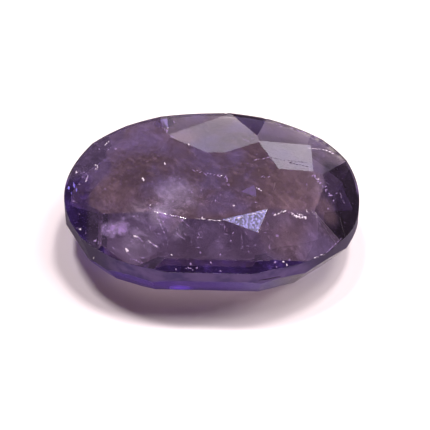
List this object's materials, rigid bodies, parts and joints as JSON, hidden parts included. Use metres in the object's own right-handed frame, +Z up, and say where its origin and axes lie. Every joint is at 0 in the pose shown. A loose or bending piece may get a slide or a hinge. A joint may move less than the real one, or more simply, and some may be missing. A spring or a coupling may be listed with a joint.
{
  "type": "iolite gemstone",
  "caption": "Oval faceted violet-brown iolite with an uneven mixed-cut crown, a frosted girdle and a stepped pavilion that ends in a small resting flat.",
  "frame": {"origin": "middle of the bounding box, on the resting flat under the pavilion", "axes": "+X along the stone's length, +Y to its back edge, +Z up through the table"},
  "size_m": [0.012, 0.008, 0.0043],
  "materials": {
    "iolite": "polished facets on a matt, frosted girdle; see-through violet that shows brown where the path through it is short"
  },
  "bodies": {
    "root": {"iolite_stone": "iolite"}
  },
  "joints": []
}
